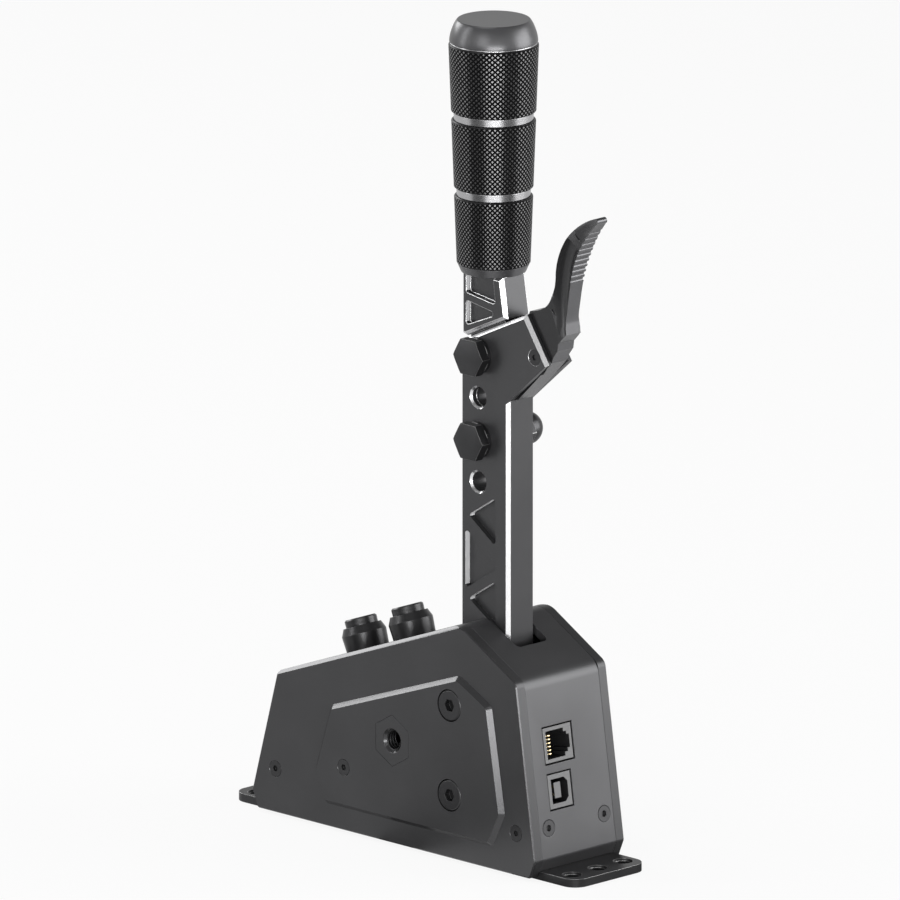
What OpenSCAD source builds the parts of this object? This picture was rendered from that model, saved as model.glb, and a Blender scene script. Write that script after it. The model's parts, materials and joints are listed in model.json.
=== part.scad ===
// Sequential gear shifter for a racing simulator: a sprung lever with a knurled grip and a finger trigger,
// on a low wedge-shaped base. +X is the front, where the sockets are, +Z is up, and the origin is on the
// surface that the base stands on, at the middle of the base plate.

/* [Base plate] */
// Length of the base plate along X
plate_l = 168; // [160:1:200]
// Width between the side plates, which the base plate and the cover fill
inner_w = 36; // [32:0.5:40]
// Thickness of the base plate
plate_t = 3; // [2.5:0.5:5]
// Radius of the base plate's corners
plate_corner_r = 5.6; // [2:0.2:9]
// Distance of the bolt holes from each end of the base plate
bolt_end = 7; // [6:0.5:8]
// Distance between the outer bolt holes across the base plate
bolt_pitch_y = 25; // [16:0.5:26]
// Diameter of the bolt holes
bolt_hole_d = 5.5; // [3.4:0.1:6.5]

/* [Housing] */
// Height of the ridge of the side plates
ridge_z = 85; // [80:1:96]
// Place of the ridge along X
ridge_x = 31.5; // [30:0.5:36]
// Height of the rear edge of the sloping top
rear_z = 52; // [46:1:58]
// Place of the rear edge of the sloping top
rear_x = -57.5; // [-60:0.5:-54]
// Place of the rear foot of the housing, its rearmost point
rear_foot_x = -70; // [-71:0.5:-68]
// Height of the front edge of the top
front_z = 69.2; // [66:0.5:72]
// Place of the front edge of the top
front_x = 59.2; // [58:0.2:61]
// Place of the front foot of the housing, its foremost point
front_foot_x = 68.4; // [67.6:0.2:70]
// Height of the widest points of the feet
foot_z = 7.2; // [6:0.2:9]
// How far the feet are drawn in below their widest points
foot_in = 2.6; // [1:0.2:4]
// Thickness of the side plates
side_t = 4; // [3.5:0.5:6]
// Chamfer on the outer edge of the side plates along the sloping top
side_chamfer = 1.2; // [0.6:0.2:2.4]
// Height of the raised panel on each side plate
panel_h = 1.6; // [1.2:0.1:2]
// Wall of the cover between the side plates
cover_t = 3; // [2.4:0.2:4]
// Radius of the bend between the top and the front of the cover
bend_r = 7; // [4:0.5:9]
// Gap under the side plates
side_gap = 1; // [0.4:0.2:1.6]

/* [Lever] */
// Place of the lever's pivot along X
pivot_x = 28.4; // [27:0.2:30]
// Height of the lever's pivot
pivot_z = 24; // [22:0.5:26]
// Width of the lever's wide face
lever_w = 23.5; // [22:0.5:25]
// Thickness of the lever
lever_t = 13.2; // [12.4:0.2:14]
// Chamfer on the long edges of the lever
lever_chamfer = 1.2; // [0.4:0.1:1.6]
// Diameter of the pivot shaft
shaft_d = 10; // [8:0.5:11]
// Lever travel each way, in degrees
lever_throw = 5; // [3:0.5:5.5]
// Height of the stop bar that limits the travel
stop_z = 56; // [54:0.5:58]
// Diameter of the stop bar
stop_d = 8; // [6.5:0.5:8.5]
// Depth of the lightening pockets in the lever
pocket_d = 2.2; // [1:0.2:2.4]
// Radius of the pockets' corners
pocket_r = 1; // [0.6:0.1:1.4]
// Height of the uppermost of the four clamp holes
clamp_z = 177; // [176:0.5:178]
// Distance between the clamp holes
clamp_pitch = 15; // [14:0.5:15.5]
// Diameter of the clamp bolts
clamp_d = 6.6; // [5:0.2:7.4]
// Size of the clamp bolts' heads across the flats
clamp_af = 12.4; // [11:0.2:13]
// Height of the clamp bolts' heads
clamp_head_h = 5.2; // [4:0.2:6]

/* [Grip] */
// Height of the lower end of the grip
grip_z = 206; // [204:0.5:210]
// Length of each knurled sleeve
sleeve_h = 24; // [20:0.2:26]
// Diameter of the grip where its lowest sleeve begins
grip_low_d = 25.6; // [24:0.2:28]
// Diameter of the grip where its upper sleeve ends
grip_top_d = 31.2; // [29:0.2:33]
// Height of the bright ring between two sleeves
ring_h = 2.8; // [1.5:0.1:3.5]
// How far the bright rings lie below the knurling
ring_in = 0.9; // [0.4:0.1:1.4]
// Height of the smooth collar under the sleeves
collar_h = 3; // [2:0.2:4]
// Height of the cap on top of the grip
cap_h = 7.8; // [7:0.2:10]
// Diameter of the flat on top of the cap
cap_flat_d = 25; // [20:0.5:27]

/* [Trigger] */
// Width of the slot between the lever's cheeks
slot_w = 8.2; // [7.4:0.2:8.6]
// Place of the trigger's pivot along X
trig_x = 52.8; // [52:0.2:53.6]
// Height of the trigger's pivot
trig_z = 181; // [180:0.5:182]
// Diameter of the trigger's pin
trig_pin_d = 3; // [2.4:0.2:3.4]
// Width of the trigger's finger paddle
paddle_w = 7; // [6:0.2:7.4]
// Number of ridges on the finger paddle
ridges = 9; // [6:1:10]

/* [Sockets] */
// Height of the square data socket along the front wall
usb_up = 22.6; // [22:0.2:24]
// Height of the link jack along the front wall
link_up = 38.8; // [38:0.2:41]
// Side place of the face of the circuit board that carries the sockets
board_y = -11.5; // [-12.5:0.1:-11]

/* [Buttons] */
// Diameter of a button's bezel
bezel_d = 15.8; // [14.4:0.2:17]
// Height of a button's bezel above the cover
bezel_h = 8.2; // [7:0.1:9]
// Diameter of a button's cap
cap_d = 11.4; // [9:0.2:11.8]
// Height of a button's cap above its bezel
cap_up = 2.8; // [2:0.2:4]
// Distance between the two buttons along the top
button_pitch = 24.4; // [20:0.2:26]
// Distance of the rear button from the rear edge of the top
button_from_edge = 24; // [20:0.5:26]

/* [Hidden] */
$fn = 48;

// Running clearance of a shaft in its bore, on the radius
run = 0.05;
// Clearance between faces that slide or fit by hand
fit = 0.1;
// Clearance of one body's surface from another's
clear = 0.4;
// Small overlap that carries a cut through a face
eps = 0.01;

black = [0.1, 0.1, 0.11];
satin = [0.17, 0.17, 0.18];
grey = [0.36, 0.36, 0.37];
steel = [0.55, 0.55, 0.57];
bright = [0.8, 0.8, 0.82];

inner_y = inner_w / 2;
side_y = inner_y + side_t;
panel_y = side_y + panel_h;
bolt_x = plate_l / 2 - bolt_end;
// The sloping top and the front wall, as angles
slope_a = atan2(ridge_z - rear_z, ridge_x - rear_x);
front_a = atan2(front_foot_x - front_x, front_z - foot_z);
housing_points = [
    [rear_foot_x + foot_in, side_gap], [rear_foot_x, foot_z], [rear_x, rear_z], [ridge_x, ridge_z],
    [front_x, front_z], [front_foot_x, foot_z], [front_foot_x - foot_in, side_gap]];
// Radii of the housing outline's corners; the cover has its own bend in place of the fifth
housing_radii = [1, 1.5, 3, 9, 4, 2, 1];
// Outline of the raised panel, at its foot on the side plate, and the radii of its corners
panel_radii = [2.6, 2.6, 2.6, 4, 3.4, 2.8, 2.6];
panel_points = [
    [-33.6, 9.2], [-38.6, 20.5], [-30.7, 44.9], [32.2, 67.2], [47.5, 59.3], [54, 21.3], [48.1, 9.2]];

// Heads, shanks and sockets of the small countersunk screws and of the large cap screws
csk_d = 5.8;
csk_shank_d = 3;
csk_socket = 2;
cap_screw_d = 11;
cap_screw_h = 3.6;
cap_screw_shank_d = 5;
cap_screw_l = 12;
cap_screw_socket = 4;
// The side mounting thread and the hexagonal insert that holds it
mount_r = 3.4;
insert_af = 16;
insert_x = 0.5;
insert_z = 38.2;
// Small screws on a side plate: place, height, and 1 where they sit on the raised panel
side_screws = [[-58.5, 16.7, 0], [-23.3, 24.1, 1], [59.2, 16, 0]];
screw_hold = 4;
cover_screw_y = 13.5;
cover_screw_up = 10.6;

// Points of a corner at b between a and c, rounded with radius r
function corner(a, b, c, r, steps = 8) = let (
    u = (a - b) / norm(a - b), v = (c - b) / norm(c - b), half = acos(u * v) / 2,
    middle = b + (u + v) / norm(u + v) * r / sin(half), arm = b + u * r / tan(half) - middle,
    turn = (cross(u, v) > 0 ? -1 : 1) * (180 - 2 * half))
    [for (i = [0:steps]) let (w = turn * i / steps)
        middle + [arm[0] * cos(w) - arm[1] * sin(w), arm[0] * sin(w) + arm[1] * cos(w)]];
// A polygon's points with each corner rounded with its own radius
function rounded(points, radii) = let (n = len(points))
    [for (i = [0:n - 1]) each corner(points[(i + n - 1) % n], points[i], points[(i + 1) % n], radii[i])];

// Pushes a profile, drawn with X across and Z up, out along Y from y0 to y1
module along_y(y0, y1) {
    translate([0, y1, 0]) rotate([90, 0, 0]) linear_extrude(height = y1 - y0) children();
}
// Cylinder along Y between two side places
module rod_y(x, z, d, y0, y1) {
    translate([x, y1, z]) rotate([90, 0, 0]) cylinder(d = d, h = y1 - y0);
}
// Hexagonal bar along Y; turn of 30 puts corners above and below
module hex_y(x, z, af, y0, y1, turn = 0) {
    translate([x, y1, z]) rotate([90, turn, 0]) cylinder(d = af / cos(30), h = y1 - y0, $fn = 6);
}
// Children on the -Y side and their mirror image on the +Y side
module both_sides() {
    children();
    mirror([0, 1, 0]) children();
}
// Children on the front wall: x runs out of the wall, and z runs up along it from the foot
module on_front_wall(up, y = 0) {
    translate([front_foot_x, y, foot_z]) rotate([0, -front_a, 0]) translate([0, 0, up]) children();
}
// Children on the sloping top: z runs out of it, and x runs along it from its rear edge
module on_slope(along) {
    translate([rear_x, 0, rear_z]) rotate([0, -slope_a, 0]) translate([along, 0, 0]) children();
}
// Screw that is driven along +Z, with its countersunk head's face at 0
module csk_screw(length, socket = true, grow = 0) {
    difference() {
        union() {
            cylinder(d1 = csk_d + 2 * grow, d2 = csk_shank_d + 2 * grow, h = (csk_d - csk_shank_d) / 2);
            cylinder(d = csk_shank_d + 2 * grow, h = length);
        }
        if (socket) translate([0, 0, -eps]) cylinder(d = csk_socket / cos(30), h = 1 + eps, $fn = 6);
    }
}
// Cap screw that is driven along +Z, with its head's face at 0
module cap_screw() {
    difference() {
        union() {
            cylinder(d1 = cap_screw_d - 0.8, d2 = cap_screw_d, h = 0.4);
            translate([0, 0, 0.4]) cylinder(d = cap_screw_d, h = cap_screw_h - 0.4);
            cylinder(d = cap_screw_shank_d, h = cap_screw_h + cap_screw_l);
        }
        translate([0, 0, -eps]) cylinder(d = cap_screw_socket / cos(30), h = 2.2 + eps, $fn = 6);
    }
}
// Point at t on a cubic curve through its end points a and d, led by b and c
function cubic(a, b, c, d, t) =
    a * pow(1 - t, 3) + b * 3 * t * pow(1 - t, 2) + c * 3 * t * t * (1 - t) + d * pow(t, 3);
function cubic_points(a, b, c, d, steps) = [for (i = [0:steps]) cubic(a, b, c, d, i / steps)];

// Round tube swept along points, with a ring at each and the given number of sides
module tube_along(points, r, sides) {
    n = len(points);
    function dir(i) = let (v = points[min(i + 1, n - 1)] - points[max(i - 1, 0)]) v / norm(v);
    function across(i) = let (v = cross(dir(i), abs(dir(i)[2]) < 0.8 ? [0, 0, 1] : [0, 1, 0])) v / norm(v);
    rings = [for (i = [0:n - 1]) for (k = [0:sides - 1])
        let (a = across(i), b = cross(dir(i), a), w = 360 * k / sides)
        points[i] + r * (cos(w) * a + sin(w) * b)];
    sides_faces = [for (i = [0:n - 2]) for (k = [0:sides - 1]) let (
        p = i * sides + k, q = i * sides + (k + 1) % sides)
        each [[p, q + sides, q], [p, p + sides, q + sides]]];
    polyhedron(points = rings, faces = concat(
        [[for (k = [0:sides - 1]) k]],
        sides_faces,
        [[for (k = [sides - 1:-1:0]) (n - 1) * sides + k]]), convexity = 8);
}

// Base plate
hole_chamfer = 0.7;
module base_plate() {
    half_l = plate_l / 2 - plate_corner_r;
    half_w = inner_y - fit - plate_corner_r;
    color(black) difference() {
        linear_extrude(height = plate_t) offset(r = plate_corner_r, $fn = 64)
            square([2 * half_l, 2 * half_w], center = true);
        for (sx = [-1, 1], sy = [-1, 0, 1]) translate([sx * bolt_x, sy * bolt_pitch_y / 2, -eps]) {
            cylinder(d = bolt_hole_d, h = plate_t + 2 * eps);
            translate([0, 0, plate_t - hole_chamfer])
                cylinder(d1 = bolt_hole_d, d2 = bolt_hole_d + 2 * hole_chamfer, h = hole_chamfer + 2 * eps);
        }
        for (y = bracket_screw_y) translate([bracket_x + bracket_t / 2, y, -eps])
            csk_screw(plate_t + 2, false, fit);
    }
}

// Cut that chamfers the outer edge of a side plate along the sloping top
module top_chamfer() {
    on_slope(0) translate([-rear_z, 0, 0]) rotate([90, 0, 90]) linear_extrude(height = plate_l)
        polygon([[-side_y - 1, -side_chamfer - 1], [-side_y + side_chamfer + 1, 1], [-side_y - 1, 1]]);
}
// Side plates
edge_chamfer = 0.4;
module side_plate() {
    outline = rounded(housing_points, housing_radii);
    color(satin) difference() {
        union() {
            hull() {
                along_y(-side_y + edge_chamfer, -inner_y) polygon(outline);
                along_y(-side_y, -inner_y) offset(delta = -edge_chamfer) polygon(outline);
            }
            hull() {
                along_y(-side_y - eps, -side_y) polygon(rounded(panel_points, panel_radii));
                along_y(-panel_y, -side_y) offset(delta = -panel_h)
                    polygon(rounded(panel_points, panel_radii));
            }
        }
        for (s = side_screws) translate([s[0], -side_y - s[2] * panel_h - eps, s[1]]) rotate([-90, 0, 0])
            csk_screw(side_t + panel_h + 1, false, fit);
        for (z = [pivot_z, stop_z]) {
            rod_y(pivot_x, z, cap_screw_shank_d + 0.8, -panel_y - eps, -inner_y + eps);
            rod_y(pivot_x, z, cap_screw_d + 0.5, -panel_y - eps, -panel_y + cap_screw_h);
        }
        hex_y(insert_x, insert_z, insert_af + fit, -panel_y - eps, -inner_y + eps, 30);
        top_chamfer();
    }
}
module side_plate_right() {
    side_plate();
}
module side_plate_left() {
    mirror([0, 1, 0]) side_plate();
}

// Cover that forms the top, front and rear walls between the side plates
slot_play = (ridge_z - 5 - pivot_z) * tan(lever_throw) + 0.6;
slot_side_play = 0.9;
slot_r = 2;
link_size = [16, 13.6, 12.4];
usb_size = [16, 10.9, 12];
module housing_cover() {
    slot = [lever_w + 2 * slot_play, lever_t + 2 * slot_side_play];
    color(grey) difference() {
        along_y(-inner_y, inner_y) difference() {
            cover_outline();
            cover_outline(cover_t);
            translate([rear_foot_x + foot_in + cover_t + 2, 0])
                square([front_foot_x - rear_foot_x - 2 * (foot_in + cover_t + 2), cover_t + plate_t + 4]);
            translate([rear_foot_x - 1, -1]) square([plate_l, plate_t + 1]);
        }
        translate([pivot_x, 0, stop_z + stop_d]) linear_extrude(height = ridge_z)
            offset(r = slot_r) square(slot - 2 * [slot_r, slot_r], center = true);
        for (i = [0, 1]) on_slope(button_from_edge + i * button_pitch)
            translate([0, 0, -2 * cover_t]) cylinder(d = barrel_d + 2 * fit, h = 4 * cover_t);
        on_front_wall(link_up) socket_window(link_size);
        on_front_wall(usb_up) socket_window(usb_size);
        for (s = [-1, 1]) on_front_wall(cover_screw_up, s * cover_screw_y) translate([eps, 0, 0])
            rotate([0, -90, 0]) csk_screw(cover_t + 1, false, fit);
    }
}
// Window in the front wall round a socket of the given size
module socket_window(size) {
    play = 0.45;
    translate([-2 * cover_t, board_y - play, -size[2] / 2 - play])
        cube([4 * cover_t, size[1] + 2 * play, size[2] + 2 * play]);
}
// The housing's outline with the cover's own bend at its front
module cover_outline(inset = 0) {
    radii = [for (i = [0:6]) max(0.2, (i == 4 ? bend_r : housing_radii[i]) - inset)];
    offset(delta = -inset) polygon(rounded(housing_points, [for (r = radii) r + inset]));
}

// Bars between the side plates that the small screws thread into; the front one takes the cover's too
tie_d = 7;
tie_size = [10, 7];
module tie_bars() {
    color(steel) difference() {
        union() {
            for (i = [0, 1]) rod_y(side_screws[i][0], side_screws[i][1], tie_d, -inner_y, inner_y);
            on_front_wall(cover_screw_up) along_y(-inner_y, inner_y)
                translate([-cover_t - tie_size[0] - fit, -tie_size[1] / 2]) square(tie_size);
        }
        both_sides() for (s = side_screws)
            rod_y(s[0], s[1], csk_shank_d, -inner_y - eps, -inner_y + screw_hold + 1);
        for (s = [-1, 1]) on_front_wall(cover_screw_up, s * cover_screw_y)
            rotate([0, -90, 0]) cylinder(d = csk_shank_d, h = cover_t + 3.5);
    }
}
module side_plate_screws() {
    color(steel) both_sides() for (s = side_screws)
        translate([s[0], -side_y - s[2] * panel_h, s[1]]) rotate([-90, 0, 0])
            csk_screw(side_t + s[2] * panel_h + screw_hold);
}
module cover_screws() {
    color(steel) for (s = [-1, 1]) on_front_wall(cover_screw_up, s * cover_screw_y)
        rotate([0, -90, 0]) csk_screw(cover_t + 3);
}
module side_mount_inserts() {
    color(satin) both_sides() difference() {
        hex_y(insert_x, insert_z, insert_af, -panel_y, -inner_y, 30);
        rod_y(insert_x, insert_z, 2 * mount_r, -panel_y - eps, -inner_y + eps);
        translate([insert_x, -panel_y - eps, insert_z]) rotate([-90, 0, 0])
            cylinder(r1 = mount_r + 1, r2 = mount_r, h = 1);
    }
}

// Pivot shaft, its spacers and screws, and the stop bar above it
module tapped_bar(z, d) {
    difference() {
        rod_y(pivot_x, z, d, -inner_y, inner_y);
        both_sides() rod_y(pivot_x, z, cap_screw_shank_d, -inner_y - eps, -inner_y + cap_screw_l);
    }
}
module bar_screws(z) {
    both_sides() translate([pivot_x, -panel_y, z]) rotate([-90, 0, 0]) cap_screw();
}
module pivot_shaft() {
    color(steel) tapped_bar(pivot_z, shaft_d);
}
module pivot_spacers() {
    color(bright) both_sides() difference() {
        rod_y(pivot_x, pivot_z, shaft_d + 4, -inner_y, -lever_t / 2 - 0.3);
        rod_y(pivot_x, pivot_z, shaft_d + 2 * run, -inner_y - eps, 0);
    }
}
module pivot_screws() {
    color(steel) bar_screws(pivot_z);
}
module stop_bar() {
    color(steel) tapped_bar(stop_z, stop_d);
}
module stop_bar_screws() {
    color(steel) bar_screws(stop_z);
}

// Bracket that the upper return spring pushes against, and the two springs
bracket_x = -15;
bracket_t = 6;
bracket_half_w = 9;
bracket_screw_y = [-5, 5];
horn_x = 2;
horn_low = 18;
horn_high = 25;
horn_tip = -4;
arm_low = 40;
arm_t = 5;
spring_d = 11;
spring_wire_d = 1.3;
spring_curls = 4;
spigot_d = 5;
spigot_h = 2;
module spring_bracket() {
    color(grey) difference() {
        union() {
            along_y(-bracket_half_w, bracket_half_w) polygon([
                [bracket_x, plate_t], [bracket_x + bracket_t, plate_t], [bracket_x + bracket_t, arm_low - 4],
                [bracket_x + bracket_t + 4, arm_low], [horn_x + 7, arm_low], [horn_x + 7, arm_low + arm_t],
                [bracket_x + 3, arm_low + arm_t], [bracket_x, arm_low + arm_t - 3]]);
            translate([horn_x, 0, arm_low - spigot_h]) cylinder(d = spigot_d, h = spigot_h + 1);
        }
        for (y = bracket_screw_y) translate([bracket_x + bracket_t / 2, y, plate_t - eps])
            cylinder(d = csk_shank_d, h = 9);
    }
}
module bracket_screws() {
    color(steel) for (y = bracket_screw_y) translate([bracket_x + bracket_t / 2, y, 0]) csk_screw(11);
}
// One unbroken helix standing on z0 and reaching z1, with closed end curls
module coil(z0, z1) {
    rings = 8 * (spring_curls + 2);
    r = (spring_d - spring_wire_d) / 2;
    low = z0 + spring_wire_d / 2;
    rise = z1 - z0 - spring_wire_d;
    points = [for (i = [0:rings]) let (turn = i / 8, f = helix_share(turn))
        [horn_x + r * cos(360 * turn), r * sin(360 * turn), low + rise * f]];
    tube_along(points, spring_wire_d / 2, 6);
}
// Share of the rise that is reached after a number of turns: slow in the first and last turn
end_share = 0.14;
function helix_share(turn) = turn < 1 ? end_share * turn
    : turn > spring_curls + 1 ? 1 - end_share * (spring_curls + 2 - turn)
    : end_share + (1 - 2 * end_share) * (turn - 1) / spring_curls;
module lower_return_spring() {
    color(bright) coil(plate_t, horn_low);
}
module upper_return_spring() {
    color(bright) coil(horn_high, arm_low);
}
echo(least_gap_of_spring = (horn_low - plate_t - spring_wire_d) * end_share - spring_wire_d);

// Circuit board, in the front wall's own frame, and what it carries
board_t = 1.6;
board_l = 22.6;
board_low = 15;
board_high = 50.5;
board_back = -cover_t - 0.4 - board_l;
board_posts = [[board_back + 3, board_low + 3], [board_back + 3, board_high - 3],
    [-cover_t - 3.4, (usb_up + link_up) / 2], [-cover_t - 3.4, board_high - 3]];
post_d = 5;
post_pin_d = 2.8;
module main_board() {
    color("darkgreen") on_front_wall(0) difference() {
        along_y(board_y - board_t, board_y) translate([board_back, board_low])
            square([board_l, board_high - board_low]);
        for (p = board_posts)
            rod_y(p[0], p[1], post_pin_d + 2 * fit, board_y - 2 * board_t, board_y + eps);
    }
}
module board_spacers() {
    color(bright) on_front_wall(0) for (p = board_posts) {
        rod_y(p[0], p[1], post_d, -inner_y, board_y - board_t);
        rod_y(p[0], p[1], post_pin_d, -inner_y, board_y + 1);
    }
}
// Square data socket: a metal shell with two cut corners round a tongue
usb_cavity = [7.8, 8.5];
usb_tongue = [3.2, 5.6];
socket_back = 9;
face_in = 0.3;
module usb_socket() {
    mid_y = board_y + usb_size[1] / 2;
    cut = 1.6;
    half = usb_cavity / 2;
    color(bright) on_front_wall(usb_up) difference() {
        translate([-usb_size[0] - face_in, board_y, -usb_size[2] / 2]) cube(usb_size);
        difference() {
            translate([-socket_back - face_in, mid_y, 0]) rotate([90, 0, 90])
                linear_extrude(height = 2 * socket_back) polygon([
                    [-half[0], -half[1]], [half[0] - cut, -half[1]], [half[0], -half[1] + cut],
                    [half[0], half[1] - cut], [half[0] - cut, half[1]], [-half[0], half[1]]]);
            translate([-socket_back - 1, mid_y - usb_tongue[0] / 2, -usb_tongue[1] / 2])
                cube([socket_back - 0.5, usb_tongue[0], usb_tongue[1]]);
        }
    }
}
// Modular link jack: a stepped opening whose narrow end takes the plug's latch
jack_depth = 13;
jack_steps = [[8.4, 9.7], [1.4, 7], [1.2, 4.6]];
jack_floor = 1.4;
module link_socket() {
    color(black) on_front_wall(link_up) difference() {
        translate([-link_size[0] - face_in, board_y, -link_size[2] / 2]) cube(link_size);
        for (i = [0:2]) let (
            before = (i > 0 ? jack_steps[0][0] : 0) + (i > 1 ? jack_steps[1][0] : 0))
            translate([-jack_depth - face_in, board_y + jack_floor + before - eps, -jack_steps[i][1] / 2])
                cube([2 * jack_depth, jack_steps[i][0] + eps, jack_steps[i][1]]);
    }
}
// Board with the lever position sensor, on two posts of the left side plate
sensor_z = 40;
sensor_face_y = 9.5;
module sensor_board() {
    color("darkgreen") {
        along_y(sensor_face_y, sensor_face_y + board_t)
            translate([pivot_x - 9, sensor_z - 6.5]) square([18, 14]);
        for (s = [-1, 1]) rod_y(pivot_x + s * 6.5, sensor_z + 4.5, post_d - 1, sensor_face_y, inner_y);
        along_y(sensor_face_y - 1.2, sensor_face_y + eps)
            translate([pivot_x - 2, sensor_z - 1.5]) square([4, 3]);
    }
}

// Two push buttons: bezel with its barrel, switch body, nut and cap
barrel_d = 12;
barrel_l = 10;
barrel_nut_h = 2.5;
switch_l = 6;
lug_l = 3;
stem_d = 6;
press = 1.5;
cap_floor = 4.2;
waist = 0.9;
button_play = 0.12;
module at_buttons() {
    for (i = [0, 1]) on_slope(button_from_edge + i * button_pitch) children();
}
module button_bezels() {
    shoulder = bezel_h - 2.7;
    color(black) at_buttons() difference() {
        union() {
            cylinder(d1 = bezel_d - 0.7, d2 = bezel_d, h = shoulder);
            translate([0, 0, shoulder]) cylinder(d1 = bezel_d, d2 = cap_d + 2, h = bezel_h - shoulder);
            translate([0, 0, -barrel_l]) cylinder(d = barrel_d, h = barrel_l + 1);
        }
        translate([0, 0, cap_floor - press - 0.3]) cylinder(r = cap_d / 2 + button_play, h = bezel_h);
        translate([0, 0, -barrel_l - eps]) cylinder(r = stem_d / 2 + button_play, h = barrel_l + bezel_h);
    }
}
module button_switches() {
    color(black) at_buttons() {
        translate([0, 0, -barrel_l - switch_l]) cylinder(d = barrel_d - 0.4, h = switch_l);
        for (s = [-1, 1]) translate([s * 3 - 0.4, -1.2, -barrel_l - switch_l - lug_l])
            cube([0.8, 2.4, lug_l + 1]);
    }
}
module button_nuts() {
    color(steel) at_buttons() translate([0, 0, -cover_t - barrel_nut_h]) difference() {
        cylinder(d = (barrel_d + 3) / cos(30), h = barrel_nut_h, $fn = 6);
        translate([0, 0, -eps]) cylinder(r = barrel_d / 2 + run, h = barrel_nut_h + 2 * eps);
    }
}
module button_cap(i) {
    color(black) on_slope(button_from_edge + i * button_pitch) {
        translate([0, 0, cap_floor]) cylinder(d = cap_d - waist, h = bezel_h + cap_up - cap_floor - 1);
        translate([0, 0, bezel_h + 0.7]) cylinder(d1 = cap_d - waist, d2 = cap_d, h = 0.5);
        translate([0, 0, bezel_h + 1.2 - eps]) cylinder(d = cap_d, h = cap_up - 1.7 + 2 * eps);
        translate([0, 0, bezel_h + cap_up - 0.5 - eps]) cylinder(d1 = cap_d, d2 = cap_d - 1, h = 0.5 + eps);
        translate([0, 0, -barrel_l + press + 0.5]) cylinder(d = stem_d, h = barrel_l + cap_floor);
    }
}
module button_cap_rear() {
    button_cap(0);
}
module button_cap_front() {
    button_cap(1);
}

// Lever arm: a bar from the pivot to a pair of cheeks, with a rear horn between the return springs
half_w = lever_w / 2;
half_t = lever_t / 2;
rear_face = pivot_x - half_w;
front_face = pivot_x + half_w;
clamp_x = pivot_x - 2.9;
bearing_d = 16;
bearing_w = 4.6;
magnet_d = 6;
magnet_t = 3;
tongue_rear = rear_face + 2.7;
tongue_front = front_face - 4;
tongue_low = clamp_z - 2 * clamp_pitch - 8;
cheek_floor = 163;
// Corners of the cheeks and the slope of their upper edge
cheek_top = [48, 195.2];
cheek_front = [58.8, 179.2];
cheek_slope = tan(24.8);
cheek_rear_z = cheek_top[1] - cheek_slope * (cheek_top[0] - rear_face);
cheek_fall = (cheek_front[1] - cheek_floor) / (cheek_front[0] - front_face);
cheek_low = cheek_floor - 4 * cheek_fall;
cheek_points = [[rear_face, cheek_low], [rear_face, cheek_rear_z], cheek_top, cheek_front,
    [front_face - 4, cheek_low]];
// Outline of a cheek's face: chamfered all round but for its lower edge, which stays sharp
cheek_edge = cheek_front - cheek_top;
cheek_face = [[rear_face, cheek_low - 2 * lever_chamfer], [rear_face, cheek_rear_z], cheek_top,
    cheek_front + cheek_edge / norm(cheek_edge) * lever_chamfer,
    [front_face - 4, cheek_low - lever_chamfer * sqrt(1 + cheek_fall * cheek_fall)]];
// Lightening pockets: corners from the rear and front faces and heights
pocket_in = 2.6;
pocket_out = 6.2;
lever_pockets = [
    [[rear_face + 4.2, 119.5], [front_face - pocket_out, 127.8], [front_face - pocket_out, 110.4]],
    [[rear_face + pocket_in, 93], [rear_face + pocket_in, 114.6], [front_face - pocket_out, 104.4],
        [front_face - pocket_out, 102]],
    [[rear_face + 4.2, 89.8], [front_face - pocket_out, 98.1], [front_face - pocket_out, 81.5]]];

module pockets(list, depth_from) {
    both_sides() for (p = list) along_y(-depth_from - eps, -depth_from + pocket_d)
        offset(r = pocket_r, $fn = 24) offset(delta = -pocket_r) polygon(p);
}
module clamp_holes(first, last) {
    for (i = [first:last])
        rod_y(clamp_x, clamp_z - i * clamp_pitch, clamp_d + 2 * fit, -half_t - eps, half_t + eps);
}
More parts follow.
